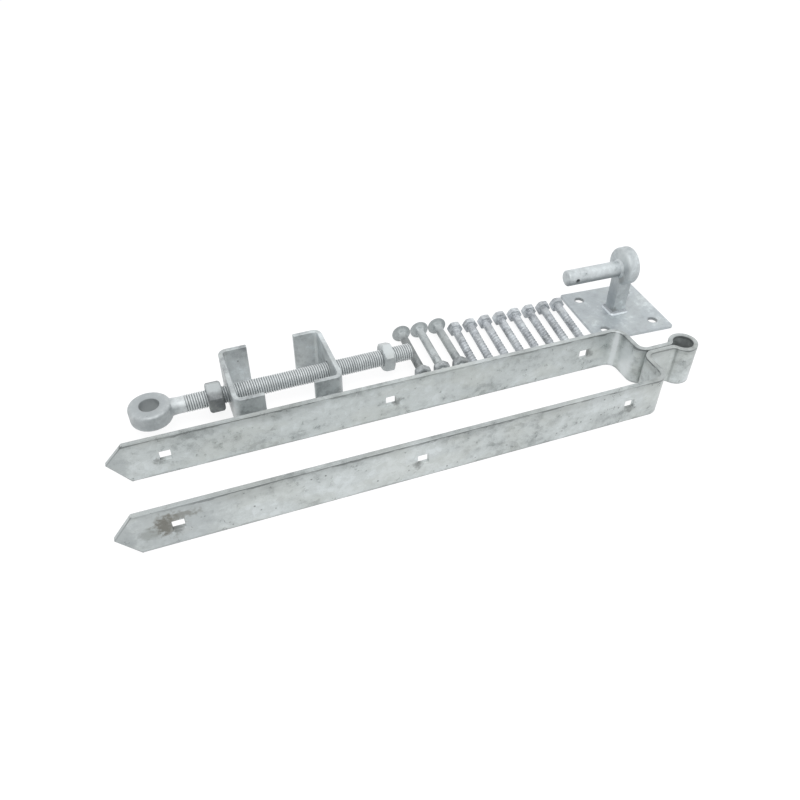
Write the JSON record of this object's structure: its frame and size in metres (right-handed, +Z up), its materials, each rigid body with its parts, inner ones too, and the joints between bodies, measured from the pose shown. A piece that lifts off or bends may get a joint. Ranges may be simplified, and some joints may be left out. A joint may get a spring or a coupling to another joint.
{
  "type": "field gate hinge set",
  "caption": "Galvanised field gate hinge set: strap band with rolled eye, hook on plate, adjustable eyebolt with clamp brackets, coach bolts and coach screws.",
  "frame": {"origin": "on the axis of the band's rolled eye, at the floor that the set lies on", "axes": "+X from the arms' points towards the eye, +Y from the band towards the hook plate, +Z up, along the eye's axis"},
  "size_m": [0.6758, 0.2333, 0.0902],
  "materials": {
    "strap_zinc": "hot-dip galvanised, mottled pale grey with a light spangle",
    "plate_zinc": "hot-dip galvanised, bluish grey",
    "weld_zinc": "galvanised weld bead, brighter",
    "rod_zinc": "galvanised, matt light grey",
    "dull_zinc": "galvanised, weathered darker grey"
  },
  "bodies": {
    "band": {"double_strap_band": "strap_zinc"},
    "hook": {"base_plate": "plate_zinc", "hook_stem": "plate_zinc", "hook_pin": "plate_zinc", "stem_weld": "weld_zinc", "pin_weld": "weld_zinc"},
    "eyebolt": {"eyebolt": "rod_zinc"},
    "left_bracket": {"left_bracket": "strap_zinc"},
    "right_bracket": {"right_bracket": "strap_zinc"},
    "left_rod_nut": {"left_rod_nut": "dull_zinc"},
    "right_rod_nut": {"right_rod_nut": "rod_zinc"},
    "coach_bolt_1": {"coach_bolt_1": "rod_zinc"},
    "coach_bolt_nut_1": {"coach_bolt_nut_1": "dull_zinc"},
    "coach_bolt_2": {"coach_bolt_2": "rod_zinc"},
    "coach_bolt_nut_2": {"coach_bolt_nut_2": "dull_zinc"},
    "coach_bolt_3": {"coach_bolt_3": "rod_zinc"},
    "coach_bolt_nut_3": {"coach_bolt_nut_3": "dull_zinc"},
    "coach_screw_1": {"coach_screw_1": "rod_zinc"},
    "coach_screw_2": {"coach_screw_2": "rod_zinc"},
    "coach_screw_3": {"coach_screw_3": "rod_zinc"},
    "coach_screw_4": {"coach_screw_4": "rod_zinc"},
    "coach_screw_5": {"coach_screw_5": "rod_zinc"},
    "coach_screw_6": {"coach_screw_6": "rod_zinc"},
    "coach_screw_7": {"coach_screw_7": "rod_zinc"},
    "coach_screw_8": {"coach_screw_8": "rod_zinc"}
  },
  "joints": [
    {"name": "hook_lift", "type": "slide", "parent": "band", "child": "hook", "axis": [0, 0, 1], "range_m": [0, 0.1]},
    {"name": "eyebolt_lift", "type": "slide", "parent": "band", "child": "eyebolt", "axis": [0, 0, 1], "range_m": [0, 0.1]},
    {"name": "left_nut_travel", "type": "slide", "parent": "eyebolt", "child": "left_rod_nut", "axis": [0.9999, 0.0136, 0], "range_m": [-0.024, 0.0027]},
    {"name": "left_bracket_slide", "type": "slide", "parent": "eyebolt", "child": "left_bracket", "axis": [0.9999, 0.0136, 0], "range_m": [-0.0027, 0.0255]},
    {"name": "right_bracket_slide", "type": "slide", "parent": "eyebolt", "child": "right_bracket", "axis": [0.9999, 0.0136, 0], "range_m": [-0.0255, 0.027]},
    {"name": "right_nut_travel", "type": "slide", "parent": "eyebolt", "child": "right_rod_nut", "axis": [0.9999, 0.0136, 0], "range_m": [-0.0295, 0.02]},
    {"name": "coach_bolt_1_turn", "type": "hinge", "parent": "band", "child": "coach_bolt_1", "pos_m": [-0.27, 0.167, 0.01125], "axis": [0.0436, 0.999, 0], "range_deg": [-3380, 2900]},
    {"name": "coach_bolt_nut_1_travel", "type": "slide", "parent": "band", "child": "coach_bolt_nut_1", "axis": [-0.0436, -0.999, 0], "range_m": [-0.014, 0.012]},
    {"name": "coach_bolt_2_turn", "type": "hinge", "parent": "band", "child": "coach_bolt_2", "pos_m": [-0.247, 0.167, 0.01125], "axis": [0.0436, 0.999, 0], "range_deg": [-3380, 2900]},
    {"name": "coach_bolt_nut_2_travel", "type": "slide", "parent": "band", "child": "coach_bolt_nut_2", "axis": [-0.0436, -0.999, 0], "range_m": [-0.014, 0.012]},
    {"name": "coach_bolt_3_turn", "type": "hinge", "parent": "band", "child": "coach_bolt_3", "pos_m": [-0.224, 0.167, 0.01125], "axis": [0.0436, 0.999, 0], "range_deg": [-3380, 2900]},
    {"name": "coach_bolt_nut_3_travel", "type": "slide", "parent": "band", "child": "coach_bolt_nut_3", "axis": [-0.0436, -0.999, 0], "range_m": [-0.014, 0.012]},
    {"name": "coach_screw_1_draw", "type": "slide", "parent": "band", "child": "coach_screw_1", "axis": [0.0663, 0.9978, 0], "range_m": [0, 0.1]},
    {"name": "coach_screw_2_draw", "type": "slide", "parent": "band", "child": "coach_screw_2", "axis": [0.068, 0.9977, 0], "range_m": [0, 0.1]},
    {"name": "coach_screw_3_draw", "type": "slide", "parent": "band", "child": "coach_screw_3", "axis": [0.0698, 0.9976, 0], "range_m": [0, 0.1]},
    {"name": "coach_screw_4_draw", "type": "slide", "parent": "band", "child": "coach_screw_4", "axis": [0.0715, 0.9974, 0], "range_m": [0, 0.1]},
    {"name": "coach_screw_5_draw", "type": "slide", "parent": "band", "child": "coach_screw_5", "axis": [0.0732, 0.9973, 0], "range_m": [0, 0.1]},
    {"name": "coach_screw_6_draw", "type": "slide", "parent": "band", "child": "coach_screw_6", "axis": [0.075, 0.9972, 0], "range_m": [0, 0.1]},
    {"name": "coach_screw_7_draw", "type": "slide", "parent": "band", "child": "coach_screw_7", "axis": [0.0767, 0.9971, 0], "range_m": [0, 0.1]},
    {"name": "coach_screw_8_draw", "type": "slide", "parent": "band", "child": "coach_screw_8", "axis": [0.0785, 0.9969, 0], "range_m": [0, 0.1]}
  ],
  "couplings": [
    {"joint": "coach_bolt_1_turn", "follows": "coach_bolt_nut_1_travel", "rad_per_m": 4188.8},
    {"joint": "coach_bolt_2_turn", "follows": "coach_bolt_nut_2_travel", "rad_per_m": 4188.8},
    {"joint": "coach_bolt_3_turn", "follows": "coach_bolt_nut_3_travel", "rad_per_m": 4188.8}
  ]
}
